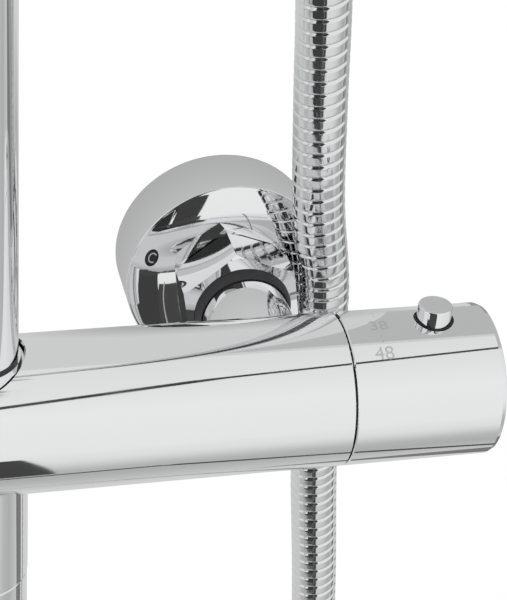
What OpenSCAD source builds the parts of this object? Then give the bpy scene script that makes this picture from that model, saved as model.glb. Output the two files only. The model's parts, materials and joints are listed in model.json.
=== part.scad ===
// Rainfall shower column: a thermostatic bar valve on two wall inlets, a riser
// with an overhead arm and rain head, a sliding holder, a handset and its hose.
// The frame: the origin lies on the finished wall midway between the two inlets,
// +X is to the right of a person facing the wall, -Y is away from the wall, +Z is up.

/* [Valve bar] */
// Distance between the hot and cold inlets
inlet_spacing = 150; // [146:1:154]
// Distance from the wall to the axis of the bar
bar_standoff = 72.5; // [72:0.5:76]
// Diameter of the bar
bar_d = 38.5; // [38:0.5:40]
// Length of the bar between its two seams
bar_l = 180; // [178:1:184]
// Length of the outlet stub below the axis of the bar
outlet_l = 46; // [42:1:50]

/* [Handles] */
// Length of each handle
knob_l = 38.7; // [38:0.1:41]
// Width of the gap at the seam between the bar and a handle
seam_gap = 0.3; // [0.2:0.05:0.5]
// Diameter of the push buttons
button_d = 8.6; // [8:0.1:9]
// Distance from the seam to the centre of a button
button_x = 23.6; // [22:0.1:25]
// Height of a button above the handle at rest
button_h = 4; // [3.5:0.1:4.5]

/* [Inlets] */
// Diameter of the wall rosettes
rosette_d = 56.6; // [54:0.2:58]
// Depth of the wall rosettes at their rims
rosette_l = 18; // [17:0.5:19]
// Rise of a rosette's domed face above its rim
dome_h = 4; // [3.5:0.1:4]
// Width across the flats of the union nuts
nut_af = 30; // [29.5:0.5:31]
// Depth of the union nuts
nut_l = 13; // [12:0.5:13]
// Turn of the union nuts about their axes, in degrees
nut_turn = 39; // [30:1:45]

/* [Riser] */
// Diameter of the riser
riser_d = 22; // [21.8:0.1:22]
// Height of the joint between the lower and upper riser
riser_joint_z = 480; // [440:10:500]
// Height of the overhead arm's axis
arm_z = 1060; // [1000:10:1100]
// Reach of the overhead arm from the riser to the rain head
arm_reach = 380; // [340:10:420]
// Height of the wall bracket
bracket_z = 930; // [900:10:940]

/* [Rain head] */
// Diameter of the rain head
head_d = 200; // [180:10:220]
// Thickness of the rain head at its rim
head_rim = 9; // [8:1:12]

/* [Handset] */
// Height of the slider on the riser
slider_z = 620; // [620:1:620]
// Turn of the slider about the riser, in degrees
slider_turn = 30; // [30:1:30]
// Lean of the handset from upright, in degrees
handset_lean = 10; // [10:1:10]
// Diameter of the handset's face
handset_d = 100; // [90:5:110]

/* [Hose] */
// Outer diameter of the hose
hose_d = 13.8; // [13:0.1:13.8]

/* [Hidden] */
$fn = 64;
tiny = 0.01;
bar_r = bar_d / 2;
seam_x = bar_l / 2;
inlet_x = inlet_spacing / 2;
knob_start = seam_x + seam_gap;
knob_end = seam_x + seam_gap + knob_l;
button_r = button_d / 2;
button_at = seam_x + button_x;
riser_r = riser_d / 2;
running = 0.05;

// the two bores that hold the cartridges
bore_r = 15.5;
bore_start = 40;
cartridge_r = bore_r - 0.06;
knob_cavity_r = 16;
hub_r = 8;
hub_start = seam_x + 15;
wall_start = knob_end - 8;
spindle_r = 4;
cap_r = 16.4;
cap_t = 1.6;

// distances from the axis of the bar towards the wall, at the inlets
neck_r = 11.7;
neck_end = 42.5;
nut_front = 37.4;
nut_lip = 1;
nut_ring_front = 34.2;
flange_r = 12.9;
union_start = 44.5;
union_r = 13.1;
stud_r = 10.48;
stud_l = 16;

// the collar and seal at the foot of the riser
collar_r = 12.3;
collar_top = 18.2;
riser_foot = 19.4;
outlet_r = 13.25;
thread_r = 10.4;

// the arm and the ball joint of the rain head
bend_r = 50;
drop_r = 40;
drop_l = 14;
ball_r = 9;
ball_z = arm_z - drop_r - drop_l - ball_r;
head_y = -bar_standoff - arm_reach;
seat_r = 10.2;

// the slider, its pivot and the holder's cup
bush_r = 13.5;
shell_r = 17;
pivot_y = -30;
pivot_r = 4;
cup_y = -56;
cone_low = -22;
cone_high = 14;
cone_r = 8.6;
cone_slope = 0.1;

// the top of the handset's handle, and the middle and the turn of its face
handle_top = 160;
face_z = 204;
face_turn = 102;

// the hose's route, from the outlet stub down, round its loop and up to the handset
hose_r = hose_d / 2;
hose_points = [
    [0, -72.5, -66.1], [0, -72.5, -110], [0, -72.5, -180], [0, -72.5, -250],
    [0, -72, -320], [3, -71, -370], [16, -65, -416], [41, -54, -444],
    [74, -38, -446], [102, -25, -420], [116, -17, -374], [119, -14, -320],
    [118, -13, -260], [116, -14, -190], [111, -16.5, -122], [105.5, -19.5, -72],
    [101.2, -24, -32], [99.4, -27.8, 0], [94.7, -29.6, 29], [91.4, -32.5, 60],
    [88.4, -36.3, 89], [82, -44, 140], [73, -54, 200], [63, -64, 260],
    [52, -74, 320], [40, -85, 380], [31, -94.5, 430], [24, -102, 480],
    [21.5, -108, 530], [24.3, -114.6, 578.5], [26.07, -117.65, 598.09]
];

// ---- places -------------------------------------------------------------

// the axis of the bar
module at_bar() translate([0, -bar_standoff, 0]) children();

// Z along +X from the middle of the bar
module along_bar() at_bar() rotate([0, 90, 0]) children();

// Z along +Y from the axis of the bar, at the cold inlet
module at_cold_inlet() translate([inlet_x, -bar_standoff, 0]) rotate([-90, 0, 0]) children();

// the same piece on the other side of the column
module other_side() mirror([1, 0, 0]) children();

// the slider's own place, with -Y pointing out along the holder
module at_slider() translate([0, -bar_standoff, slider_z]) rotate([0, 0, slider_turn]) children();

// the middle of the holder's cup, with Z up along the handset
module at_cup() at_slider() translate([0, cup_y, 0]) rotate([handset_lean, 0, 0]) children();

// the middle of the ball at the end of the arm
module at_ball() translate([0, head_y, ball_z]) children();

// ---- shapes -------------------------------------------------------------

module tube(r, bore, h) {
    difference() {
        cylinder(r = r, h = h);
        translate([0, 0, -1]) cylinder(r = bore, h = h + 2);
    }
}

// a solid of revolution about Z from [radius, height] points
module turned(points) rotate_extrude() polygon(points);

// a rod with both of its edges chamfered
module chamfered(r, h, c) {
    turned([[0, 0], [r - c, 0], [r, c], [r, h - c], [r - c, h], [0, h]]);
}

function unit(v) = v / norm(v);

function between(a, b, c, d, t) =
    0.5 * (2 * b + (c - a) * t + (2 * a - 5 * b + 4 * c - d) * t * t
        + (3 * b - a - 3 * c + d) * t * t * t);

// a smooth line through points, with one more point in each gap
function smoothed(p) = [
    for (i = [0 : len(p) - 2], t = [0, 0.5])
        between(p[max(i - 1, 0)], p[i], p[i + 1], p[min(i + 2, len(p) - 1)], t),
    p[len(p) - 1]
];

function heading(p, i) = unit(p[min(i + 1, len(p) - 1)] - p[max(i - 1, 0)]);

// a round tube of radius r along the points, with rings of n sides; side is
// a direction that the line never runs along
module swept(p, r, n, side) {
    rings = [
        for (i = [0 : len(p) - 1])
            let (t = heading(p, i), u = unit(cross(t, side)), v = cross(t, u))
            for (k = [0 : n - 1])
                p[i] + r * (cos(360 * k / n) * u + sin(360 * k / n) * v)
    ];
    last = n * (len(p) - 1);
    walls = [
        for (i = [0 : len(p) - 2], k = [0 : n - 1])
            let (a = n * i + k, b = n * i + (k + 1) % n)
            [a, a + n, b + n, b]
    ];
    polyhedron(rings, concat(walls, [[for (k = [0 : n - 1]) k]],
        [[for (k = [n - 1 : -1 : 0]) last + k]]));
}

// places on evenly spaced rings, as [x, y]
function ringed(rings, gap, first) = [
    for (j = [1 : rings], k = [0 : first * j - 1])
        let (a = 360 * k / (first * j)) [gap * j * cos(a), gap * j * sin(a)]
];

// ---- valve body and inlets ----------------------------------------------

module neck() {
    at_cold_inlet() union() {
        cylinder(r = neck_r, h = neck_end);
        translate([0, 0, neck_end - 2.4]) cylinder(r = flange_r, h = 2.4);
    }
}

module neck_bore() {
    at_cold_inlet() union() {
        cylinder(r = 7, h = neck_end + 1);
        translate([0, 0, 27]) cylinder(r = 9, h = neck_end - 26);
    }
}

module valve_body() {
    color("silver") difference() {
        union() {
            along_bar() translate([0, 0, -seam_x]) chamfered(bar_r, bar_l, 0.3);
            at_bar() translate([0, 0, -outlet_l]) cylinder(r = outlet_r, h = outlet_l);
            at_bar() translate([0, 0, -outlet_l - 10]) cylinder(r = thread_r, h = 11);
            neck();
            other_side() neck();
        }
        along_bar() translate([0, 0, bore_start]) cylinder(r = bore_r, h = seam_x);
        along_bar() translate([0, 0, -bore_start - seam_x]) cylinder(r = bore_r, h = seam_x);
        along_bar() translate([0, 0, -bore_start - 1]) cylinder(r = 8, h = 2 * bore_start + 2);
        at_bar() cylinder(r = 7, h = bar_r + 1);
        at_bar() translate([0, 0, 10]) cylinder(r = collar_r + 0.3, h = bar_r);
        at_bar() translate([0, 0, -outlet_l - 11]) cylinder(r = 7.5, h = outlet_l + 11);
        neck_bore();
        other_side() neck_bore();
    }
}

module inlet_union() {
    at_cold_inlet() translate([0, 0, union_start]) turned([
        [7.5, 0], [union_r - 0.6, 0], [union_r, 0.6], [union_r, 16], [stud_r, 16],
        [stud_r, bar_standoff + stud_l - union_start],
        [7.5, bar_standoff + stud_l - union_start]
    ]);
}

module cold_union() color("gainsboro") inlet_union();
module hot_union() color("gainsboro") other_side() inlet_union();

// the height of a rosette's face above its rim, at a distance from its axis
function dome(x) = dome_h * (1 - pow(2 * x / rosette_d, 4));

// a drum with a domed face, open towards the wall
module rosette() {
    r = rosette_d / 2;
    edge = 0.4;
    skin = 1.3;
    hole = union_r + 0.25;
    steps = 8;
    outside = [for (i = [0 : steps]) let (x = hole + (r - edge - hole) * i / steps)
        [x, -rosette_l - dome(x)]];
    inside = [for (i = [steps : -1 : 0]) let (x = hole + (r - skin - hole) * i / steps)
        [x, skin - rosette_l - dome(x)]];
    at_cold_inlet() translate([0, 0, bar_standoff])
        turned(concat(outside, [[r, edge - rosette_l], [r, 0], [r - skin, 0]], inside));
}

module cold_rosette() color("silver") rosette();
module hot_rosette() color("silver") other_side() rosette();

module union_nut() {
    corner_r = nut_af / 2 / cos(30);
    at_cold_inlet() translate([0, 0, nut_front]) difference() {
        intersection() {
            rotate([0, 0, -nut_turn]) cylinder(r = corner_r, h = nut_l, $fn = 6);
            turned([[0, 0], [13.2, 0], [corner_r - 1, 0.4], [corner_r, 1],
                [corner_r, nut_l - 1.2], [corner_r - 1.8, nut_l], [0, nut_l]]);
        }
        translate([0, 0, -1]) cylinder(r = neck_r + 0.25, h = nut_l + 2);
        translate([0, 0, -1]) cylinder(r = 13.2, h = nut_lip + 1);
        translate([0, 0, 2.4]) cylinder(r = union_r + 0.08, h = nut_l);
    }
}

module cold_union_nut() color("silver") union_nut();
module hot_union_nut() color("silver") other_side() union_nut();

// the dark tapered ring in the mouth of each union nut, round the neck
module nut_ring() {
    bottom = nut_front + nut_lip - nut_ring_front - 0.05;
    at_cold_inlet() translate([0, 0, nut_ring_front]) turned([
        [neck_r + 0.05, 0.3], [neck_r + 0.3, 0], [13.1, nut_front - nut_ring_front - 0.1],
        [13.1, bottom], [neck_r + 0.05, bottom]
    ]);
}

module union_nut_rings() color("dimgray") {
    nut_ring();
    other_side() nut_ring();
}

module inlet_washer() at_cold_inlet() translate([0, 0, neck_end + tiny]) tube(12.7, 8, 1.98);

module inlet_washers() color("darkslategray") {
    inlet_washer();
    other_side() inlet_washer();
}

module inlet_filter() {
    at_cold_inlet() translate([0, 0, neck_end + 0.7]) difference() {
        cylinder(r = 7.95, h = 0.6);
        for (p = concat([[0, 0]], ringed(3, 2.1, 6)))
            translate([p.x, p.y, -1]) cylinder(r = 0.8, h = 3, $fn = 16);
    }
}

module inlet_filters() color("lightsteelblue") {
    inlet_filter();
    other_side() inlet_filter();
}

// a spring-loaded non-return cartridge, with its seat towards the wall
module check_valve() {
    at_cold_inlet() translate([0, 0, 27.2]) difference() {
        cylinder(r = 8.95, h = 15);
        translate([0, 0, 4]) cylinder(r = 7.4, h = 8);
        translate([0, 0, 11]) cylinder(r = 5.2, h = 5);
        translate([0, 0, -1]) cylinder(r = 2.05, h = 6);
        for (a = [0 : 60 : 300])
            rotate([0, 0, a]) translate([4.9, 0, -1]) cylinder(r = 1.7, h = 6, $fn = 24);
    }
}

module check_valves() color("white") {
    check_valve();
    other_side() check_valve();
}

module poppet() {
    at_cold_inlet() translate([0, 0, 29.35]) union() {
        cylinder(r = 2, h = 8);
        translate([0, 0, 7.6]) cylinder(r = 6.2, h = 2.2);
    }
}

module cold_poppet() color("orange") poppet();
module hot_poppet() color("orange") other_side() poppet();

// ---- cartridges and handles ---------------------------------------------

// a turned body with two seal grooves, a waist where the water comes in, and its ports
module cartridge(start) {
    waist = 12.5;
    groove = 13.5;
    end = seam_x + 14;
    spindle_hole = spindle_r + running;
    along_bar() difference() {
        turned([
            [6, start], [cartridge_r, start], [cartridge_r, inlet_x - 11.4], [groove, inlet_x - 11.4],
            [groove, inlet_x - 9], [cartridge_r, inlet_x - 9], [cartridge_r, inlet_x - 7],
            [waist, inlet_x - 7], [waist, inlet_x + 7], [cartridge_r, inlet_x + 7],
            [cartridge_r, inlet_x + 9], [groove, inlet_x + 9], [groove, inlet_x + 11.4],
            [cartridge_r, inlet_x + 11.4], [cartridge_r, seam_x + 4], [12, seam_x + 4], [12, end],
            [spindle_hole, end], [spindle_hole, 82], [5, 82], [5, start + 13], [6, start + 13]
        ]);
        for (a = [0 : 60 : 300])
            translate([0, 0, inlet_x]) rotate([0, 0, a + 10]) translate([3, 0, 0])
                rotate([0, 90, 0]) cylinder(r = 2.5, h = 12);
    }
}

module thermostatic_cartridge() color("burlywood") cartridge(bore_start + 3);
module flow_cartridge() color("burlywood") other_side() cartridge(bore_start + 8);

module side_seals() {
    for (x = [inlet_x + 9.05, inlet_x - 11.35])
        along_bar() translate([0, 0, x]) tube(bore_r - 0.03, 13.55, 2.3);
}

module cartridge_seals() color("black") {
    side_seals();
    other_side() side_seals();
}

module spindle() {
    along_bar() translate([0, 0, 84]) difference() {
        cylinder(r = spindle_r, h = wall_start - 84 - 0.1);
        translate([0, 0, wall_start - 84 - 14]) cylinder(r = 2.03, h = 15);
    }
}

module temperature_spindle() color("goldenrod") spindle();
module flow_spindle() color("goldenrod") other_side() spindle();

// the ring that the button's foot catches on at the safe temperature
module temperature_stop_ring() {
    color("crimson") along_bar() translate([0, 0, seam_x + 4.2]) difference() {
        cylinder(r = 14.8, h = 4);
        translate([0, 0, -1]) cylinder(r = 12.03, h = 6);
        translate([13, -3, -1]) cube([6, 6, 6]);
    }
}

module knob_shell() {
    inside_l = wall_start - knob_start + 1;
    difference() {
        along_bar() translate([0, 0, knob_start]) turned([
            [0, 0], [bar_r - 0.3, 0], [bar_r, 0.3], [bar_r, knob_l - 1.6],
            [bar_r - 0.5, knob_l - 0.5], [bar_r - 1.6, knob_l], [0, knob_l]
        ]);
        along_bar() translate([0, 0, knob_start - 1])
            tube(knob_cavity_r, hub_r, inside_l);
        along_bar() translate([0, 0, knob_start - 1])
            cylinder(r = hub_r + 1, h = hub_start - knob_start + 1);
        along_bar() translate([0, 0, knob_start - 1]) cylinder(r = spindle_r + 0.02, h = inside_l);
        along_bar() translate([0, 0, knob_start]) cylinder(r = 2.3, h = knob_l + 1);
        along_bar() translate([0, 0, wall_start + 2.4]) cylinder(r = 4.6, h = 10);
        along_bar() translate([0, 0, knob_end - cap_t]) cylinder(r = cap_r + 0.1, h = 5);
        at_bar() translate([button_at, 0, hub_r]) cylinder(r = button_r + 0.75, h = 20);
    }
}

module temperature_knob() color("silver") knob_shell();
module flow_knob() color("silver") other_side() knob_shell();

module end_cap() {
    along_bar() translate([0, 0, knob_end - cap_t + tiny]) turned([
        [0, 0], [cap_r, 0], [cap_r, cap_t - 0.5], [cap_r - 0.5, cap_t - tiny],
        [0, cap_t - tiny]
    ]);
}

module temperature_cap() color("silver") end_cap();
module flow_cap() color("silver") other_side() end_cap();

module knob_screw() {
    along_bar() difference() {
        union() {
            translate([0, 0, wall_start + 2.45]) chamfered(4.2, 3.4, 0.4);
            translate([0, 0, wall_start - 12]) cylinder(r = 2, h = 15);
        }
        translate([0, 0, wall_start + 4.2]) cylinder(r = 1.9, h = 4, $fn = 6);
    }
}

module temperature_screw() color("gray") knob_screw();
module flow_screw() color("gray") other_side() knob_screw();

module button() {
    foot = 12.9;
    at_bar() translate([button_at, 0, foot]) turned([
        [0, 0], [button_r + 0.55, 0], [button_r + 0.55, 1.2], [button_r, 1.2],
        [button_r, bar_r + button_h - foot - 0.5], [button_r - 0.5, bar_r + button_h - foot],
        [0, bar_r + button_h - foot]
    ]);
}

module temperature_button() color("silver") button();
module flow_button() color("silver") other_side() button();

module button_sleeve() {
    at_bar() translate([button_at, 0, 14.3]) tube(button_r + 0.73, button_r + running, bar_r - 14.3 - 0.9);
}

module temperature_button_sleeve() color("black") button_sleeve();
module flow_button_sleeve() color("black") other_side() button_sleeve();

module button_spring() {
    low = hub_r + 0.45;
    high = 12.5;
    turns = 3;
    steps = 12 * turns;
    coil = [for (i = [0 : steps]) [
        button_at + 2.9 * cos(30 * i), -bar_standoff + 2.9 * sin(30 * i),
        low + (high - low) * i / steps
    ]];
    swept(coil, 0.35, 8, [0, 0, 1]);
}

module temperature_button_spring() color("lightgray") button_spring();
module flow_button_spring() color("lightgray") other_side() button_spring();

// ---- riser, arm and wall bracket ----------------------------------------

module riser_collar() {
    color("silver") at_bar() translate([0, 0, 10.05]) turned([
        [7, 0], [collar_r, 0], [collar_r, collar_top - 10.85], [collar_r - 0.8, collar_top - 10.05],
        [riser_r - 1.08, collar_top - 10.05], [riser_r - 1.08, 24], [7, 24]
    ]);
}

module riser_seal() color("black") at_bar() translate([0, 0, collar_top + tiny]) tube(10.8, 9.98, 1.15);

module riser_lower() {
    color("silver") at_bar() translate([0, 0, riser_foot])
        tube(riser_r, riser_r - 1, riser_joint_z - riser_foot);
}

module riser_sleeve() {
    color("khaki") at_bar() translate([0, 0, riser_joint_z - 30]) tube(riser_r - 1.06, 7.5, 60);
}

// the arm's centre line: up, round the bend, out and down, at radius r
module arm_line(r) {
    up = arm_z - bend_r - riser_joint_z - 0.2;
    out = arm_reach - bend_r - drop_r;
    at_bar() translate([0, 0, riser_joint_z + 0.2]) cylinder(r = r, h = up);
    at_bar() translate([0, -bend_r, arm_z - bend_r]) rotate([90, 0, 90])
        rotate_extrude(angle = 90) translate([bend_r, 0]) circle(r = r);
    at_bar() translate([0, -bend_r, arm_z]) rotate([90, 0, 0]) cylinder(r = r, h = out);
    translate([0, head_y + drop_r, arm_z - drop_r]) rotate([90, 0, 90]) rotate([0, 0, 90])
        rotate_extrude(angle = 90) translate([drop_r, 0]) circle(r = r);
}

module riser_upper() {
    color("silver") difference() {
        union() {
            arm_line(riser_r);
            translate([0, head_y, arm_z - drop_r - 6]) cylinder(r = riser_r + 1.5, h = 6.5);
            translate([0, head_y, ball_z + 4]) cylinder(r = 4.5, h = arm_z - drop_r - ball_z - 4);
            at_ball() sphere(r = ball_r);
        }
        difference() {
            arm_line(riser_r - 1);
            translate([0, head_y, arm_z - drop_r - 10]) cylinder(r = riser_r, h = 14);
        }
        translate([0, head_y, ball_z - ball_r - 1]) cylinder(r = 2.8, h = 40);
        at_bar() translate([0, 0, riser_joint_z]) cylinder(r = riser_r - 1, h = 40);
    }
}

module bracket_plate() {
    color("gainsboro") translate([0, 0, bracket_z]) rotate([90, 0, 0]) difference() {
        union() {
            cylinder(r = 22, h = 3.5);
            cylinder(r = 11, h = 16);
        }
        translate([0, 0, 4]) cylinder(r = 8.04, h = 20);
        for (x = [-16, 16]) translate([x, 0, -1]) cylinder(r = 2.3, h = 10);
        translate([0, 0, 10]) rotate([90, 0, 0]) cylinder(r = 2.5, h = 12);
    }
}

// two wall screws with slotted heads, plain shanks in the plate and threads in the wall
module bracket_screws() {
    color("gray") translate([0, 0, bracket_z]) for (x = [-16, 16]) translate([x, 0, 0])
        rotate([90, 0, 0]) difference() {
            union() {
                translate([0, 0, 3.55]) chamfered(4, 2.4, 0.5);
                cylinder(r = 1.7, h = 4);
                translate([0, 0, -34]) cylinder(r = 2, h = 34);
            }
            translate([0, 0, 5.2]) cube([1, 5, 1.6], center = true);
        }
}

module bracket_cover() {
    r = 27.5;
    color("silver") translate([0, 0, bracket_z]) rotate([90, 0, 0]) turned([
        [r - 1.3, 0], [r, 0], [r, 16.5], [r - 1.5, 18], [8.15, 18], [8.15, 16.7],
        [r - 2, 16.7], [r - 1.3, 16]
    ]);
}

module bracket_arm() {
    color("silver") translate([0, 0, bracket_z]) difference() {
        union() {
            rotate([90, 0, 0]) translate([0, 0, 4.1]) cylinder(r = 8, h = bar_standoff - 4.1);
            at_bar() translate([0, 0, -12]) chamfered(riser_r + 4, 24, 0.8);
        }
        at_bar() translate([0, 0, -20]) cylinder(r = riser_r + 0.03, h = 40);
    }
}

module bracket_grub_screw() {
    color("dimgray") translate([0, -10, bracket_z - 11.5]) difference() {
        chamfered(2.45, 3.4, 0.3);
        translate([0, 0, -1]) cylinder(r = 1.3, h = 2.6, $fn = 6);
    }
}

// ---- slider and holder --------------------------------------------------

module slider_bush() {
    color("white") at_slider() translate([0, 0, -22]) difference() {
        union() {
            cylinder(r = bush_r, h = 44);
            cylinder(r = shell_r, h = 2);
            translate([0, 0, 42]) cylinder(r = shell_r, h = 2);
        }
        translate([0, 0, -1]) cylinder(r = riser_r + running, h = 50);
    }
}

module slider_shell() {
    color("silver") at_slider() difference() {
        union() {
            translate([0, 0, -19.9]) chamfered(shell_r, 39.8, 0.8);
            translate([-5, pivot_y, -8]) cube([10, -pivot_y - 10, 16]);
            translate([-5, pivot_y, 0]) rotate([0, 90, 0]) cylinder(r = 8, h = 10);
            rotate([0, 90, 0]) cylinder(r = 7.5, h = 20.5);
        }
        translate([0, 0, -25]) cylinder(r = bush_r + running, h = 50);
        translate([-10, pivot_y, 0]) rotate([0, 90, 0]) cylinder(r = pivot_r + running, h = 20);
        rotate([0, 90, 0]) cylinder(r = 3.06, h = 30);
    }
}

module slider_clamp_knob() {
    color("silver") at_slider() rotate([0, 90, 0]) difference() {
        union() {
            translate([0, 0, 20.8]) chamfered(9, 14, 1);
            translate([0, 0, bush_r + 0.15]) cylinder(r = 3, h = 8);
        }
        for (a = [0 : 45 : 315])
            rotate([0, 0, a]) translate([10.2, 0, 22]) cylinder(r = 2, h = 20, $fn = 24);
    }
}

module holder_pin() {
    color("gray") at_slider() translate([-9, pivot_y, 0]) rotate([0, 90, 0]) cylinder(r = pivot_r, h = 18);
}

// two ears on the pin, and a cup with a taper and a slot at the front
module handset_holder() {
    color("silver") difference() {
        union() {
            at_slider() for (x = [-9.2, 5.2]) {
                translate([x, pivot_y, 0]) rotate([0, 90, 0]) cylinder(r = 7.5, h = 4);
                translate([x, pivot_y - 15, -7.5]) cube([4, 15, 15]);
            }
            at_cup() translate([0, 0, -15]) chamfered(16, 27, 0.8);
        }
        at_cup() translate([0, 0, cone_low]) cylinder(r1 = cone_r + 0.3,
            r2 = cone_r + 0.3 + 40 * cone_slope, h = 40);
        at_cup() translate([-7.6, -20, -20]) cube([15.2, 20, 40]);
        at_slider() translate([-10, pivot_y, 0]) rotate([0, 90, 0]) cylinder(r = pivot_r + 0.03, h = 20);
    }
}

// ---- handset and hose ---------------------------------------------------

// the middle of the handset's face plate, with Z pointing out of the face
module at_handset_face() at_cup() translate([0, -24, face_z]) rotate([face_turn, 0, 0]) children();

module handset_body() {
    r = handset_d / 2;
    color("silver") difference() {
        union() {
            at_cup() translate([0, 0, 5]) cylinder(r = thread_r, h = 10);
            at_cup() translate([0, 0, cone_high + 0.1])
                cylinder(r1 = 12.4, r2 = 11, h = handle_top - cone_high);
            at_cup() translate([0, 0, handle_top - 12]) sphere(r = 12.5);
            at_handset_face() translate([0, 0, -14]) turned([
                [0, -6], [r * 0.6, -4.5], [r - 6, 0], [r - 1, 5], [r, 9], [r, 13],
                [r - 1, 14], [r - 2.5, 14], [r - 2.5, 11], [0, 11]
            ]);
        }
        at_cup() translate([0, 0, -5]) cylinder(r = 6, h = handle_top);
        at_handset_face() translate([0, 0, -13]) cylinder(r = r - 12, h = 8);
        at_cup() translate([0, -3, handle_top - 12]) rotate([face_turn - 90, 0, 0]) cylinder(r = 3, h = 30);
    }
}

module handset_face() {
    color("dimgray") at_handset_face() translate([0, 0, -2.9]) chamfered(handset_d / 2 - 2.6, 2.9, 0.4);
}

module handset_nozzles() {
    color("slategray") at_handset_face() for (p = concat([[0, 0]], ringed(5, 8.4, 6)))
        translate([p.x, p.y, tiny]) cylinder(r1 = 1.3, r2 = 0.9, h = 1.6, $fn = 16);
}

module hose() color("silver") swept(smoothed(hose_points), hose_r, 10, [0, 1, 0]);

module hose_outlet_nut() {
    color("silver") at_bar() translate([0, 0, -66]) difference() {
        chamfered(13.1, 19.8, 0.5);
        translate([0, 0, 9]) cylinder(r = thread_r + 0.06, h = 20);
        translate([0, 0, -1]) cylinder(r = 5, h = 20);
    }
}

module hose_cone_nut() {
    color("silver") at_cup() translate([0, 0, cone_low]) difference() {
        cylinder(r1 = cone_r, r2 = cone_r + (cone_high - cone_low) * cone_slope, h = cone_high - cone_low);
        translate([0, 0, 26.5]) cylinder(r = thread_r + 0.06, h = 20);
        translate([0, 0, -1]) cylinder(r = 5, h = 40);
    }
}

// ---- rain head ----------------------------------------------------------

// a spherical seat between the ball and the socket of the head
module ball_seat() {
    color("white") at_ball() difference() {
        sphere(r = seat_r);
        sphere(r = ball_r + running);
        translate([0, 0, 3.6]) cylinder(r = 20, h = 20);
        translate([0, 0, -20]) cylinder(r = 5.5, h = 20);
    }
}

module rain_head_shell() {
    r = head_d / 2;
    low = ball_z - 31;
    color("silver") difference() {
        union() {
            translate([0, head_y, ball_z - 20]) turned([
                [0, 0], [17, 0], [17, 22], [14, 26.5], [0, 26.5]
            ]);
            translate([0, head_y, low]) turned([
                [0, head_rim - 3], [0, 18], [20, 18], [r * 0.5, 13.5], [r - 4, head_rim],
                [r, head_rim - 2], [r, 0], [r - 2.5, 0], [r - 2.5, 3], [r - 5, head_rim - 3]
            ]);
        }
        at_ball() sphere(r = seat_r + running);
        translate([0, head_y, low]) cylinder(r = 4, h = 30);
        translate([0, head_y, low]) turned([
            [0, 3], [r - 6, 3], [r - 6, head_rim - 2.5], [r * 0.5, 11.3], [17, 15.5], [0, 15.5]
        ]);
    }
}

module rain_head_face() {
    color("gainsboro") translate([0, head_y, ball_z - 31]) chamfered(head_d / 2 - 2.6, 2.9, 0.4);
}

module rain_head_nozzles() {
    color("slategray") translate([0, head_y, ball_z - 31 - tiny]) rotate([180, 0, 0])
        for (p = concat([[0, 0]], ringed(5, 17.6, 6)))
            translate([p.x, p.y, 0]) cylinder(r1 = 2.2, r2 = 1.5, h = 2.4, $fn = 16);
}

valve_body();
cold_union();
hot_union();
cold_rosette();
hot_rosette();
cold_union_nut();
hot_union_nut();
union_nut_rings();
inlet_washers();
inlet_filters();
check_valves();
cold_poppet();
hot_poppet();
thermostatic_cartridge();
flow_cartridge();
cartridge_seals();
temperature_spindle();
flow_spindle();
temperature_stop_ring();
temperature_knob();
flow_knob();
temperature_cap();
flow_cap();
temperature_screw();
flow_screw();
temperature_button();
flow_button();
temperature_button_sleeve();
flow_button_sleeve();
temperature_button_spring();
flow_button_spring();
riser_collar();
riser_seal();
riser_lower();
riser_sleeve();
riser_upper();
bracket_plate();
bracket_screws();
bracket_cover();
bracket_arm();
bracket_grub_screw();
slider_bush();
slider_shell();
slider_clamp_knob();
handset_holder();
holder_pin();
handset_body();
handset_face();
handset_nozzles();
hose();
hose_outlet_nut();
hose_cone_nut();
ball_seat();
rain_head_shell();
rain_head_face();
rain_head_nozzles();
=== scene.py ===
"""Looks of the rainfall shower column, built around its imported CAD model.

The frame is the CAD model's: the origin is on the wall midway between the two inlets,
+X is to the right, +Y goes into the wall and +Z is up. Lengths are in metres.
"""

import json
import math

import bpy
from mathutils import Euler, Matrix, Vector


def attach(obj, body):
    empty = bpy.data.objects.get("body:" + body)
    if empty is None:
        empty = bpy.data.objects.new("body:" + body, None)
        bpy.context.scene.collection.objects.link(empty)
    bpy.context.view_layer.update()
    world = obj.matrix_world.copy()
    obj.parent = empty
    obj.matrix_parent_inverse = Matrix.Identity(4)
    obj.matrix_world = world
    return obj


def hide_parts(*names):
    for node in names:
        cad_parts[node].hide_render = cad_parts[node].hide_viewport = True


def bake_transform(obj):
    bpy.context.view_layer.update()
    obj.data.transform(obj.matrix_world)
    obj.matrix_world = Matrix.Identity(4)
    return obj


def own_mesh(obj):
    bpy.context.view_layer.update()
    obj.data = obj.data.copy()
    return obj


MM = 0.001
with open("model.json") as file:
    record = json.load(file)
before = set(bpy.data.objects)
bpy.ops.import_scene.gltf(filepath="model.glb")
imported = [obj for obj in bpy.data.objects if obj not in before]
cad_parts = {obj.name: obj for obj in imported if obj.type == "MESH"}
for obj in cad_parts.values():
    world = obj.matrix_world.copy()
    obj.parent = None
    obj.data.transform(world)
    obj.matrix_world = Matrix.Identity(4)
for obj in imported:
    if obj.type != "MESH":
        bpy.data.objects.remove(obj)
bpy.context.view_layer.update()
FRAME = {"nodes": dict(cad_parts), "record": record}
NODES = FRAME["nodes"]
X, Y, Z = Vector((1, 0, 0)), Vector((0, 1, 0)), Vector((0, 0, 1))

BAR = Vector((0, -72.5, 0)) * MM
BAR_R = 19.25 * MM
INLET_X = 75 * MM
BUTTON_X = 113.6 * MM
ROSETTE_R = 28.3 * MM
ROSETTE_L = 18 * MM
DOME_H = 4 * MM


# ---- camera ---------------------------------------------------------------


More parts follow.
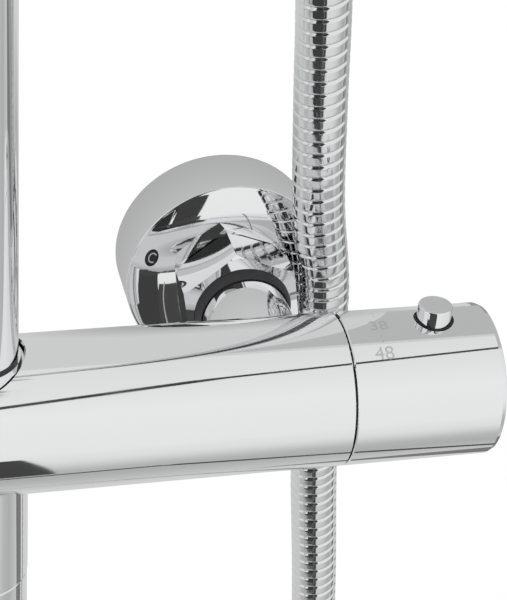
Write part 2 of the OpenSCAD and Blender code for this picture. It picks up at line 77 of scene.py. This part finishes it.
def make_camera():
    """A close view from above and to the left of the temperature handle."""
    camera = bpy.data.cameras.new("camera")
    camera.sensor_width = 36
    camera.lens = 104.96
    camera.clip_start = 0.01
    holder = bpy.data.objects.new("camera", camera)
    pitch, yaw, roll = math.radians(32.52), math.radians(15.95), math.radians(4.93)
    turn = Euler((math.pi / 2 - pitch, 0, -yaw), "XYZ").to_matrix()
    holder.matrix_world = Matrix.Translation((-0.02972, -0.41092, 0.25257)) @ (
        turn @ Matrix.Rotation(roll, 3, "Z")
    ).to_4x4()
    bpy.context.scene.collection.objects.link(holder)
    bpy.context.scene.camera = holder


# ---- mesh helpers -----------------------------------------------------------


def shown(name, mesh, body, nodes=(), material=None):
    """An object for a mesh, riding on a body and standing for CAD nodes."""
    if material:
        mesh.materials.clear()
        mesh.materials.append(material)
    thing = bpy.data.objects.new(name, mesh)
    bpy.context.scene.collection.objects.link(thing)
    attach(thing, body)
    if nodes:
        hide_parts(*nodes)
    return thing


def smooth_mesh(name, verts, faces, sharp):
    """A mesh shaded smooth, apart from edges over the sharp angle in degrees."""
    mesh = bpy.data.meshes.new(name)
    mesh.from_pydata(verts, [], faces)
    mesh.validate()
    mesh.shade_smooth()
    mesh.set_sharp_from_angle(angle=math.radians(sharp))
    return mesh


def turned_normal(face, corners, origin, along):
    """The corners' true normals if the face lies on a surface turned about the axis, or None."""
    away = [c - origin for c in corners]
    ups = [a.dot(along) for a in away]
    outs = [a - along * u for a, u in zip(away, ups)]
    radii = [o.length for o in outs]
    middle = sum(outs, Vector())
    if min(radii) < 0.1 * MM or middle.length < 0.1 * MM:
        return None
    middle.normalize()
    if abs(face.normal.dot(along.cross(middle))) > 0.06:
        return None
    if any(o.normalized().dot(middle) < 0.98 for o in outs):
        return None
    out, up = face.normal.dot(middle), face.normal.dot(along)
    level = [out * r + up * u for r, u in zip(radii, ups)]
    if max(level) - min(level) > 0.02 * MM:
        return None
    return [(o.normalized() * out + along * up).normalized() for o in outs]


def polished_copy(name, node, body, material, axes):
    """A copy of a CAD node that shades as the exact turned surfaces its facets stand for."""
    mesh = NODES[node].data.copy()
    mesh.name = name
    normals = [corner.vector.copy() for corner in mesh.corner_normals]
    for face in mesh.polygons:
        corners = [mesh.vertices[v].co for v in face.vertices]
        for origin, along in axes:
            exact = turned_normal(face, corners, origin, along)
            if exact:
                for loop, normal in zip(face.loop_indices, exact):
                    normals[loop] = normal
                break
    mesh.normals_split_custom_set(normals)
    return shown(name, mesh, body, [node], material)


def lathe(profile, origin, along, across, sides):
    """Vertices and faces of a closed profile of (radius, height) points turned about an axis."""
    side = along.cross(across)
    verts, rows, faces = [], [], []
    for radius, height in profile:
        centre = origin + along * height
        if radius == 0:
            rows.append([len(verts)] * sides)
            verts.append(centre)
            continue
        rows.append([len(verts) + k for k in range(sides)])
        for k in range(sides):
            a = 2 * math.pi * k / sides
            verts.append(centre + (across * math.cos(a) + side * math.sin(a)) * radius)
    closed = profile[0][0] > 0
    for i in range(len(rows) if closed else len(rows) - 1):
        low, high = rows[i], rows[(i + 1) % len(rows)]
        for k in range(sides):
            j = (k + 1) % sides
            ring = dict.fromkeys((low[k], low[j], high[j], high[k]))
            faces.append(tuple(ring))
    return verts, faces


def both_sides(verts, faces):
    """The same mesh with its mirror image on the other side of the column."""
    count = len(verts)
    mirrored = [Vector((-v.x, v.y, v.z)) for v in verts]
    return verts + mirrored, faces + [tuple(count + i for i in reversed(f)) for f in faces]


def mirrored_only(verts, faces):
    """The mesh's mirror image alone."""
    return [Vector((-v.x, v.y, v.z)) for v in verts], [tuple(reversed(f)) for f in faces]


# ---- valve, handles and inlets ----------------------------------------------


def dome(radius):
    """How far a rosette's domed face stands off the wall, at a distance from its axis."""
    return ROSETTE_L + DOME_H * (1 - (radius / ROSETTE_R) ** 4)


def rosette_profile():
    hole, skin, edge, steps = 13.35 * MM, 1.3 * MM, 0.45 * MM, 48
    rim = ROSETTE_R - edge
    face = [hole + (rim - hole) * i / steps for i in range(steps + 1)]
    outside = [(r, dome(r)) for r in face]
    turn = [
        (rim + edge * math.sin(a), dome(rim) - edge * (1 - math.cos(a)))
        for a in (math.radians(15 * k) for k in range(2, 7))
    ]
    wall = [(ROSETTE_R, 0), (ROSETTE_R - skin, 0)]
    inner = [hole + (ROSETTE_R - skin - hole) * i / 12 for i in range(12, -1, -1)]
    return outside + turn + wall + [(r, dome(r) - skin) for r in inner]


def make_rosettes(chrome):
    verts, faces = lathe(rosette_profile(), Vector((INLET_X, 0, 0)), -Y, X, 256)
    cold = smooth_mesh("cold_rosette_shell", verts, faces, 40)
    shown("cold_rosette_shell", cold, "column", ["cold_rosette"], chrome)
    hot = smooth_mesh("hot_rosette_shell", *mirrored_only(verts, faces), 40)
    shown("hot_rosette_shell", hot, "column", ["hot_rosette"], chrome)


def letter(text, size, depth):
    """A flat letter or number as a mesh in the XY plane, centred, with a little depth."""
    curve = bpy.data.curves.new("mark", "FONT")
    curve.body = text
    curve.size = size
    curve.extrude = depth
    curve.align_x = "CENTER"
    curve.align_y = "CENTER"
    curve.resolution_u = 6
    holder = bpy.data.objects.new("mark", curve)
    mesh = bpy.data.meshes.new_from_object(holder)
    bpy.data.objects.remove(holder)
    return mesh


def make_badges(enamel, silver):
    """A small dark disc with a C or an H on the face of each rosette."""
    from_axis, angle = 23.9 * MM, math.radians(158)
    slope = math.atan(4 * DOME_H / ROSETTE_R * (from_axis / ROSETTE_R) ** 3)
    for side, text in ((1, "C"), (-1, "H")):
        out = Vector((math.cos(angle), 0, math.sin(angle)))
        spot = Vector((INLET_X, -dome(from_axis), 0)) + out * from_axis
        face = (-Y * math.cos(slope) + out * math.sin(slope)).normalized()
        if side < 0:
            spot.x, face.x = -spot.x, -face.x
        up = (Z - face * Z.dot(face)).normalized()
        across = up.cross(face)
        profile = [(0, 0.14), (1.5, 0.12), (1.95, 0.06), (2.1, -0.02), (2.1, -0.4), (0, -0.4)]
        verts, faces = lathe(
            [(r * MM, h * MM) for r, h in profile], spot, face, across, 64)
        tall = Matrix.Translation(spot) @ (
            Matrix.Rotation(math.radians(-18 * side), 3, face)
            @ Matrix.Scale(0.82, 3, across) @ Matrix.Scale(1.25, 3, up)
        ).to_4x4() @ Matrix.Translation(-spot)
        disc = smooth_mesh("badge_disc", [tall @ v for v in verts], faces, 50)
        name = "cold" if side > 0 else "hot"
        shown(name + "_badge", disc, "column", material=enamel)
        mark = letter(text, 3.6 * MM, 0.05 * MM)
        place = Matrix((across, up, face)).transposed().to_4x4()
        mark.transform(tall @ Matrix.Translation(spot + face * 0.13 * MM) @ place)
        shown(name + "_badge_letter", mark, "column", material=silver)


def wrapped_on_knob(mesh, x, angle, lift):
    """Lays a flat mark on the handle: its X along the handle, its Y up and over the top."""
    for v in mesh.vertices:
        radius = BAR_R + lift + v.co.z
        a = angle - v.co.y / BAR_R
        v.co = Vector((x + v.co.x, BAR.y - radius * math.sin(a), radius * math.cos(a)))


def make_knob_marks(etched):
    """The numbers and index lines etched on the temperature handle."""
    for text, x, angle in (("38", 98.9, 4.5), ("48", 98.3, 30.5)):
        mark = letter(text, 5.0 * MM, 0.02 * MM)
        wrapped_on_knob(mark, x * MM, math.radians(angle), 0)
        shown("mark_" + text, mark, "temperature_handle", material=etched)
    for name, x, angle in (("38", 99.0, -11.2), ("48", 98.6, 18.0)):
        half, tall = 0.14, 1.1
        flat = [(-half, -tall), (half, -tall), (half, tall), (-half, tall)]
        verts = [Vector((u, v, w)) * MM for w in (-0.02, 0.02) for u, v in flat]
        faces = [(3, 2, 1, 0), (4, 5, 6, 7)]
        faces += [(k, (k + 1) % 4, 4 + (k + 1) % 4, 4 + k) for k in range(4)]
        mesh = bpy.data.meshes.new("index_" + name)
        mesh.from_pydata(verts, [], faces)
        wrapped_on_knob(mesh, x * MM, math.radians(angle), 0)
        shown("index_" + name, mesh, "temperature_handle", material=etched)


def make_buttons(chrome, spun):
    """Push buttons with a slightly conical spun top."""
    r, top = 4.3, 23.25
    body = [(0, 12.9), (r + 0.55, 12.9), (r + 0.55, 14.1), (r, 14.1), (r, top - 0.5)]
    ease = [(r - 0.5 * (1 - math.cos(a)), top - 0.5 + 0.5 * math.sin(a))
            for a in (math.radians(18 * k) for k in range(1, 6))]
    crown = [(r - 0.5, top), (r - 0.9, top + 0.02), (0, top + 0.32)]
    wall = [(a * MM, b * MM) for a, b in body + ease + crown]
    for side, name in ((1, "temperature"), (-1, "flow")):
        place = Vector((side * BUTTON_X, BAR.y, 0))
        verts, faces = lathe(wall, place, Z, X, 96)
        mesh = smooth_mesh(name + "_push_button", verts, faces, 25)
        mesh.materials.append(chrome)
        mesh.materials.append(spun)
        for face in mesh.polygons:
            if face.center.z > (top + 0.01) * MM:
                face.material_index = 1
        shown(name + "_push_button", mesh, name + "_button", [name + "_button"])


def make_springs(steel):
    """The button springs, each a copy of its CAD node riding on its handle."""
    for name in ("temperature", "flow"):
        node = name + "_button_spring"
        coil = NODES[node].data.copy()
        spring = shown(name + "_button_coil", coil, name + "_handle", [node], steel)
        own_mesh(spring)


def make_nut_rings(rubber):
    neck, y = 11.7, 38.3
    profile = [
        (neck + 0.05, -0.3), (neck + 0.3, 0), (12.2, -0.35), (12.65, -1.4), (13.0, -2.6),
        (13.1, -3.1), (13.1, -4.15), (neck + 0.05, -4.15),
    ]
    verts, faces = lathe(
        [(a * MM, b * MM) for a, b in profile], Vector((INLET_X, -y * MM, 0)), -Y, X, 128)
    mesh = smooth_mesh("nut_seal_rings", *both_sides(verts, faces), 30)
    shown("nut_seal_rings", mesh, "column", ["union_nut_rings"], rubber)


def make_valve(materials):
    chrome = materials["polished_chrome"]
    along_bar, down = (BAR, X), (BAR, Z)
    inlets = [(Vector((s * INLET_X, 0, 0)), Y) for s in (1, -1)]
    buttons = [(Vector((s * BUTTON_X, BAR.y, 0)), Z) for s in (1, -1)]
    polished_copy("valve_casting", "valve_body", "column", chrome, [along_bar, *inlets, down])
    polished_copy("temperature_grip", "temperature_knob", "temperature_handle", chrome,
                  [along_bar, buttons[0]])
    polished_copy("flow_grip", "flow_knob", "flow_handle", chrome, [along_bar, buttons[1]])
    polished_copy("cold_hex_nut", "cold_union_nut", "column", chrome, inlets[:1])
    polished_copy("hot_hex_nut", "hot_union_nut", "column", chrome, inlets[1:])
    polished_copy("riser_tube", "riser_lower", "column", chrome, [down])
    polished_copy("riser_foot_collar", "riser_collar", "column", chrome, [down])
    polished_copy("outlet_hex_nut", "hose_outlet_nut", "column", chrome, [down])


# ---- hose -------------------------------------------------------------------

HOSE_D = 13.8 * MM
HOSE_PITCH = 3.6 * MM
HOSE_STEPS = 18
HOSE_SIDES = 40
SPLINE_PARTS = 20
HOSE_POINTS = [
    (0, -72.5, -66.1), (0, -72.5, -110), (0, -72.5, -180), (0, -72.5, -250),
    (0, -72, -320), (3, -71, -370), (16, -65, -416), (41, -54, -444),
    (74, -38, -446), (102, -25, -420), (116, -17, -374), (119, -14, -320),
    (118, -13, -260), (116, -14, -190), (111, -16.5, -122), (105.5, -19.5, -72),
    (101.2, -24, -32), (99.4, -27.8, 0), (94.7, -29.6, 29), (91.4, -32.5, 60),
    (88.4, -36.3, 89), (82, -44, 140), (73, -54, 200), (63, -64, 260),
    (52, -74, 320), (40, -85, 380), (31, -94.5, 430), (24, -102, 480),
    (21.5, -108, 530), (24.3, -114.6, 578.5), (26.07, -117.65, 598.09),
]
# the heights on the slider's side of the hose where it is cut from one length into the next
HOSE_LOW, HOSE_MIDDLE, HOSE_HIGH = 0.33, 0.42, 0.552
# points on the hose at the slide and at the tilt of the holder
SLIDE_START = Vector((0.0914, -0.0325, 0.07))
TILT_START = Vector((0.0266, -0.0987, 0.46))


def spline(points, step):
    """A smooth line through the points, which are in millimetres, with a point every step."""
    p = [Vector(q) * MM for q in points]
    fine = []
    for i in range(len(p) - 1):
        a, b, c, d = p[max(i - 1, 0)], p[i], p[i + 1], p[min(i + 2, len(p) - 1)]
        for k in range(SPLINE_PARTS):
            t = k / SPLINE_PARTS
            fine.append(
                0.5 * (2 * b + (c - a) * t + (2 * a - 5 * b + 4 * c - d) * t * t
                       + (3 * b - a - 3 * c + d) * t ** 3)
            )
    fine.append(p[-1])
    line, gone, due = [fine[0]], 0.0, step
    for a, b in zip(fine, fine[1:]):
        length = (b - a).length
        while gone + length >= due:
            line.append(a.lerp(b, (due - gone) / length))
            due += step
        gone += length
    return line


def rib(phase):
    """The hose's radius over one pitch, as a share of its outer radius: a flat band and a seam."""
    seam, deep, lip = 0.15, 0.935, 0.965
    if phase < seam:
        return deep
    x = (phase - seam) / (1 - seam) * 2 - 1
    return lip + (1 - lip) * (1 - abs(x) ** 9) ** 0.5


def ribbed_tube(line, radius, sides, start, end):
    """Vertices and faces of an interlocked hose from one point of the line to another."""
    verts, faces = [], []
    for i in range(start, end + 1):
        p = line[i]
        ahead = (line[min(i + 1, len(line) - 1)] - line[max(i - 1, 0)]).normalized()
        u = ahead.cross(Y).normalized()
        v = ahead.cross(u)
        for k in range(sides):
            turn = k / sides
            phase = (i / HOSE_STEPS - turn) % 1
            a = 2 * math.pi * turn
            r = radius * rib(phase)
            verts.append(p + u * (r * math.cos(a)) + v * (r * math.sin(a)))
    for i in range(end - start):
        for k in range(sides):
            a, b = i * sides + k, i * sides + (k + 1) % sides
            faces.append((a, a + sides, b + sides, b))
    last = sides * (end - start)
    faces.append(tuple(range(sides)))
    faces.append(tuple(last + k for k in reversed(range(sides))))
    return verts, faces


def make_hose(steel):
    """The metal hose from the outlet to the cone nut, in four lengths."""
    step = HOSE_PITCH / HOSE_STEPS
    whole = spline(HOSE_POINTS, step)
    last = len(whole) - 1
    cuts = [0]
    for height in (HOSE_LOW, HOSE_MIDDLE, HOSE_HIGH):
        cuts.append(max(i for i, p in enumerate(whole) if p.z < height))
    cuts.append(last)
    lengths = [
        ("hose_run", "column", "slider", SLIDE_START),
        ("hose_turn", "slider", "slider_swivel", whole[cuts[1]]),
        ("hose_bend", "slider_swivel", "holder", TILT_START),
        ("hose_end", "holder", "handset", whole[cuts[3]]),
    ]
    for k, (name, near, far, start) in enumerate(lengths):
        a, b = cuts[k], cuts[k + 1]
        mesh = smooth_mesh(name, *ribbed_tube(whole, HOSE_D / 2, HOSE_SIDES, a, b), 80)
        mesh.materials.append(steel)
        piece = bpy.data.objects.new(name, mesh)
        bpy.context.scene.collection.objects.link(piece)
        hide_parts("hose")
        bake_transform(piece)
    for k in range(3):
        a, b = cuts[k], cuts[k + 1]


# ---- materials --------------------------------------------------------------


def shader_of(name, colour, metallic, roughness):
    """A new material with a Principled shader, its node tree and the shader."""
    material = bpy.data.materials.new(name)
    material.use_nodes = True
    tree = material.node_tree
    shader = tree.nodes["Principled BSDF"]
    shader.inputs["Base Color"].default_value = (*colour, 1)
    shader.inputs["Metallic"].default_value = metallic
    shader.inputs["Roughness"].default_value = roughness
    return material, tree, shader


def noise(tree, scale, detail=3):
    """A noise texture in object coordinates."""
    place = tree.nodes.new("ShaderNodeTexCoord")
    texture = tree.nodes.new("ShaderNodeTexNoise")
    texture.inputs["Scale"].default_value = scale
    texture.inputs["Detail"].default_value = detail
    tree.links.new(place.outputs["Object"], texture.inputs["Vector"])
    return texture.outputs["Fac"]


def spread(tree, value, low, high):
    """A value from 0.3 to 0.7 mapped onto low to high."""
    node = tree.nodes.new("ShaderNodeMapRange")
    node.inputs["From Min"].default_value = 0.3
    node.inputs["From Max"].default_value = 0.7
    node.inputs["To Min"].default_value = low
    node.inputs["To Max"].default_value = high
    tree.links.new(value, node.inputs["Value"])
    return node.outputs["Result"]


def bump(tree, shader, height, distance):
    """Raises the surface's look by a height, up to a distance in metres."""
    node = tree.nodes.new("ShaderNodeBump")
    node.inputs["Strength"].default_value = 1
    node.inputs["Distance"].default_value = distance
    tree.links.new(height, node.inputs["Height"])
    tree.links.new(node.outputs["Normal"], shader.inputs["Normal"])


def polished_chrome(name="polished_chrome", colour=(0.9, 0.905, 0.91), low=0.02, high=0.06):
    """Mirror chrome with faint haze and the slight waves of a polished casting."""
    material, tree, shader = shader_of(name, colour, 1, low)
    tree.links.new(spread(tree, noise(tree, 60), low, high), shader.inputs["Roughness"])
    bump(tree, shader, noise(tree, 25, 1), 0.00002)
    return material


def spun_metal():
    """Chrome with the fine concentric grain of a spun top."""
    material, tree, shader = shader_of("spun_metal", (0.86, 0.865, 0.87), 1, 0.22)
    shader.inputs["Anisotropic"].default_value = 0.85
    tangent = tree.nodes.new("ShaderNodeTangent")
    tangent.direction_type = "RADIAL"
    tangent.axis = "Z"
    tree.links.new(tangent.outputs[0], shader.inputs["Tangent"])
    tree.links.new(spread(tree, noise(tree, 300), 0.18, 0.26), shader.inputs["Roughness"])
    return material


def matt(name, colour, roughness, grain, depth, metallic=0.0):
    """A plain surface with a fine grain: rubber, moulded plastic or bead-blasted metal."""
    material, tree, shader = shader_of(name, colour, metallic, roughness)
    tree.links.new(
        spread(tree, noise(tree, grain / 8), roughness - 0.06, roughness + 0.06),
        shader.inputs["Roughness"],
    )
    bump(tree, shader, noise(tree, grain), depth)
    return material


def make_materials():
    return {
        "badge_enamel": matt("badge_enamel", (0.012, 0.012, 0.013), 0.25, 900, 0.000005),
        "badge_silver": matt("badge_silver", (0.75, 0.75, 0.75), 0.35, 2500, 0.000003, 1.0),
        "etched": matt("etched_mark", (0.66, 0.66, 0.67), 0.38, 4000, 0.000004, 1.0),
        "spun": spun_metal(),
        "polished_chrome": polished_chrome(),
        "chromed_plastic": polished_chrome("chromed_plastic", (0.88, 0.885, 0.89), 0.03, 0.08),
        "hose_steel": polished_chrome("hose_steel", (0.84, 0.845, 0.85), 0.06, 0.14),
        "brass": matt("turned_brass", (0.72, 0.53, 0.24), 0.28, 1500, 0.00002, 1.0),
        "stainless_steel": matt("stainless_steel", (0.6, 0.6, 0.61), 0.3, 2500, 0.00001, 1.0),
        "dark_rubber": matt("dark_rubber", (0.035, 0.035, 0.038), 0.6, 1200, 0.00003),
        "engineering_plastic": matt("engineering_plastic", (0.78, 0.76, 0.7), 0.42, 900, 0.00002),
        "stop_ring_red": matt("stop_ring_red", (0.5, 0.05, 0.04), 0.4, 900, 0.00002),
        "face_plate_grey": matt("face_plate_grey", (0.42, 0.43, 0.45), 0.35, 900, 0.00002),
        "silicone": matt("silicone", (0.22, 0.225, 0.235), 0.55, 1500, 0.00002),
    }


def dress_cad_nodes(materials, record):
    """Every CAD node takes the material of its slot."""
    for entry in record["subparts"]:
        node = NODES[entry["node"]]
        node.data.materials.clear()
        node.data.materials.append(materials[entry["material_slot"]])


# ---- stage ------------------------------------------------------------------


MIDDLE = Vector((0.06, -0.05, 0.0))


def glow(name, strength):
    """A plain glowing material for a studio card."""
    material = bpy.data.materials.new(name)
    material.use_nodes = True
    nodes = material.node_tree.nodes
    nodes.clear()
    light = nodes.new("ShaderNodeEmission")
    light.inputs["Strength"].default_value = strength
    out = nodes.new("ShaderNodeOutputMaterial")
    material.node_tree.links.new(light.outputs[0], out.inputs["Surface"])
    return material


def card(name, size, place, strength):
    """A studio card that faces the object and glows with the given strength."""
    mesh = bpy.data.meshes.new(name)
    w, h = size[0] / 2, size[1] / 2
    mesh.from_pydata([(-w, -h, 0), (w, -h, 0), (w, h, 0), (-w, h, 0)], [], [(0, 1, 2, 3)])
    mesh.materials.append(glow(name, strength))
    thing = bpy.data.objects.new(name, mesh)
    aim = (MIDDLE - Vector(place)).to_track_quat("Z", "Y")
    thing.matrix_world = Matrix.Translation(place) @ aim.to_matrix().to_4x4()
    hide_from_view(thing)


def hide_from_view(thing):
    """A studio card shows in reflections only."""
    thing.visible_camera = False
    thing.visible_shadow = False
    thing.visible_diffuse = False
    bpy.context.scene.collection.objects.link(thing)


def light_path_mix(tree, reflected, seen, output):
    """One shader for what the camera sees and another for what reflects."""
    mix = tree.nodes.new("ShaderNodeMixShader")
    ray = tree.nodes.new("ShaderNodeLightPath")
    tree.links.new(ray.outputs["Is Camera Ray"], mix.inputs["Fac"])
    tree.links.new(reflected.outputs[0], mix.inputs[1])
    tree.links.new(seen.outputs[0], mix.inputs[2])
    tree.links.new(mix.outputs[0], output.inputs["Surface"])


# how bright the studio is, from the wall (-180) round under the floor (-90), the front (0)
# and the ceiling (90) back to the wall (180)
STUDIO = [
    (-180, 0.47), (-165, 0.47), (-150, 0.48), (-112, 0.6), (-98, 0.6), (-88, 0.54), (-72, 0.45),
    (-60, 0.5), (-42, 0.78), (-25, 0.86), (30, 0.88), (62, 0.82), (100, 0.78), (122, 0.7),
    (136, 0.56), (150, 0.5), (165, 0.47), (180, 0.47),
]


def make_world():
    """White to the camera, and a soft grey studio to everything that reflects."""
    world = bpy.data.worlds.new("studio")
    world.use_nodes = True
    tree = world.node_tree
    shown_sky = tree.nodes["Background"]
    shown_sky.inputs["Color"].default_value = (1, 1, 1, 1)
    place = tree.nodes.new("ShaderNodeTexCoord")
    split = tree.nodes.new("ShaderNodeSeparateXYZ")
    front = tree.nodes.new("ShaderNodeMath")
    front.operation = "MULTIPLY"
    front.inputs[1].default_value = -1
    angle = tree.nodes.new("ShaderNodeMath")
    angle.operation = "ARCTAN2"
    turn = tree.nodes.new("ShaderNodeMapRange")
    turn.inputs["From Min"].default_value = -math.pi
    turn.inputs["From Max"].default_value = math.pi
    ramp = tree.nodes.new("ShaderNodeValToRGB")
    for k, (degrees, value) in enumerate(STUDIO):
        spot = (degrees + 180) / 360
        if k in (0, len(STUDIO) - 1):
            stop = ramp.color_ramp.elements[0 if k == 0 else -1]
        else:
            stop = ramp.color_ramp.elements.new(spot)
        stop.color = (value, value, value, 1)
    reflected = tree.nodes.new("ShaderNodeBackground")
    tree.links.new(place.outputs["Generated"], split.inputs[0])
    tree.links.new(split.outputs["Y"], front.inputs[0])
    tree.links.new(split.outputs["Z"], angle.inputs[0])
    tree.links.new(front.outputs[0], angle.inputs[1])
    tree.links.new(angle.outputs[0], turn.inputs["Value"])
    tree.links.new(turn.outputs["Result"], ramp.inputs["Fac"])
    tree.links.new(ramp.outputs["Color"], reflected.inputs["Color"])
    light_path_mix(tree, reflected, shown_sky, tree.nodes["World Output"])
    bpy.context.scene.world = world


def make_floor():
    """A plain pale floor a metre below the inlets, left out of reflections."""
    mesh = bpy.data.meshes.new("floor")
    half, z = 6.0, -1.0
    mesh.from_pydata([(-half, -half, z), (half, -half, z), (half, half, z), (-half, half, z)],
                     [], [(0, 1, 2, 3)])
    material = bpy.data.materials.new("floor")
    material.use_nodes = True
    nodes = material.node_tree.nodes
    nodes.clear()
    light = nodes.new("ShaderNodeEmission")
    output = nodes.new("ShaderNodeOutputMaterial")
    material.node_tree.links.new(light.outputs[0], output.inputs["Surface"])
    mesh.materials.append(material)
    floor = bpy.data.objects.new("floor", mesh)
    floor.visible_glossy = False
    bpy.context.scene.collection.objects.link(floor)


def towards(bearing, height, reach=1.2):
    """A place in the studio: its bearing to the right of straight out, and how high it is."""
    a, b = math.radians(bearing), math.radians(height)
    out = Vector((math.sin(a), -math.cos(a) * math.cos(b), math.cos(a) * math.sin(b)))
    return MIDDLE + out * reach


def strip(name, points, width, strength):
    """A long thin card along a line of points."""
    for k, (a, b) in enumerate(zip(points, points[1:])):
        a, b = Vector(a), Vector(b)
        centre, run = (a + b) / 2, b - a
        out = (MIDDLE - centre).normalized()
        side = out.cross(run).normalized() * width / 2
        mesh = bpy.data.meshes.new(name)
        mesh.from_pydata([a - side, b - side, b + side, a + side], [], [(0, 1, 2, 3)])
        mesh.materials.append(glow(name, strength))
        hide_from_view(bpy.data.objects.new(f"{name}_{k}", mesh))


def make_wall_glow():
    """What the chrome sees of the pale wall behind it, dimmer close to each rosette as a painted
    shadow of the rosettes on the wall.
    """
    mesh = bpy.data.meshes.new("wall_glow")
    low, high, back = (-0.4, -0.35), (0.45, 0.5), 0.001
    mesh.from_pydata([(low[0], back, low[1]), (high[0], back, low[1]),
                      (high[0], back, high[1]), (low[0], back, high[1])], [], [(0, 1, 2, 3)])
    material = glow("wall_glow", 1.0)
    tree = material.node_tree
    light = tree.nodes["Emission"]
    place = tree.nodes.new("ShaderNodeTexCoord")
    fold = tree.nodes.new("ShaderNodeVectorMath")
    fold.operation = "ABSOLUTE"
    away = tree.nodes.new("ShaderNodeVectorMath")
    away.operation = "DISTANCE"
    away.inputs[1].default_value = (INLET_X, 0, 0)
    # painted shadow of each rosette on the wall: the glow is 0.45 within 28 mm of the inlet axis
    # and rises to 0.66 by 62 mm
    dim = tree.nodes.new("ShaderNodeMapRange")
    dim.inputs["From Min"].default_value = 0.028
    dim.inputs["From Max"].default_value = 0.062
    dim.inputs["To Min"].default_value = 0.45
    dim.inputs["To Max"].default_value = 0.66
    tree.links.new(place.outputs["Object"], fold.inputs[0])
    tree.links.new(fold.outputs[0], away.inputs[0])
    tree.links.new(away.outputs["Value"], dim.inputs["Value"])
    tree.links.new(dim.outputs["Result"], light.inputs["Strength"])
    mesh.materials.append(material)
    hide_from_view(bpy.data.objects.new("wall_glow", mesh))


def wall_card(name, x_from, x_to, z_from, z_to, strength):
    """A card flat on the wall, in front of its glow."""
    front = -0.001
    mesh = bpy.data.meshes.new(name)
    mesh.from_pydata([(x_from, front, z_from), (x_to, front, z_from),
                      (x_to, front, z_to), (x_from, front, z_to)], [], [(0, 1, 2, 3)])
    mesh.materials.append(glow(name, strength))
    hide_from_view(bpy.data.objects.new(name, mesh))


def make_stage():
    """A pale floor, soft grey surroundings and the dark edges that chrome needs."""
    bpy.context.scene.view_settings.view_transform = "Standard"
    make_world()
    make_floor()
    strip("line_above", [(0.02, -0.78, 0.58), (0.24, -0.47, 0.81), (0.5, -0.2, 0.86)], 0.03, 0.05)
    strip("line_below", [(-0.1, -0.42, -0.84), (0.2, -0.44, -0.82), (0.34, -0.3, -0.85),
                         (0.5, -0.03, -0.86)], 0.034, 0.08)
    card("dark_upper_left", (0.68, 1.5), towards(-30, 34), 0.03)
    card("dark_upper", (0.36, 1.5), towards(-9, 34), 0.05)
    strip("line_upper", [towards(-20, 4, 1.1), towards(-19, 40, 1.1)], 0.012, 0.5)
    card("dark_level", (0.95, 0.66), towards(-22, -13), 0.06)
    card("dark_low_left", (0.86, 0.68), towards(-25.5, -47.5), 0.05)
    card("dark_low", (0.27, 0.68), towards(-2.5, -47.5), 0.06)
    strip("line_low", [towards(-5.5, -31, 1.1), towards(-4.5, -63, 1.1)], 0.014, 0.4)
    card("grey_overhead", (0.75, 0.95), towards(-21, 97), 0.38)
    wall_card("grey_right", 0.124, 0.7, 0.02, 0.35, 0.5)
    wall_card("grey_low_right", 0.15, 0.7, -0.06, 0.02, 0.32)
    wall_card("dark_right", 0.19, 0.8, -0.6, -0.06, 0.2)
    make_wall_glow()


make_camera()
MATERIALS = make_materials()
dress_cad_nodes(MATERIALS, FRAME["record"])
make_hose(MATERIALS["hose_steel"])
make_valve(MATERIALS)
make_rosettes(MATERIALS["polished_chrome"])
make_badges(MATERIALS["badge_enamel"], MATERIALS["badge_silver"])
make_knob_marks(MATERIALS["etched"])
make_buttons(MATERIALS["chromed_plastic"], MATERIALS["spun"])
make_springs(MATERIALS["stainless_steel"])
make_nut_rings(MATERIALS["dark_rubber"])
make_stage()
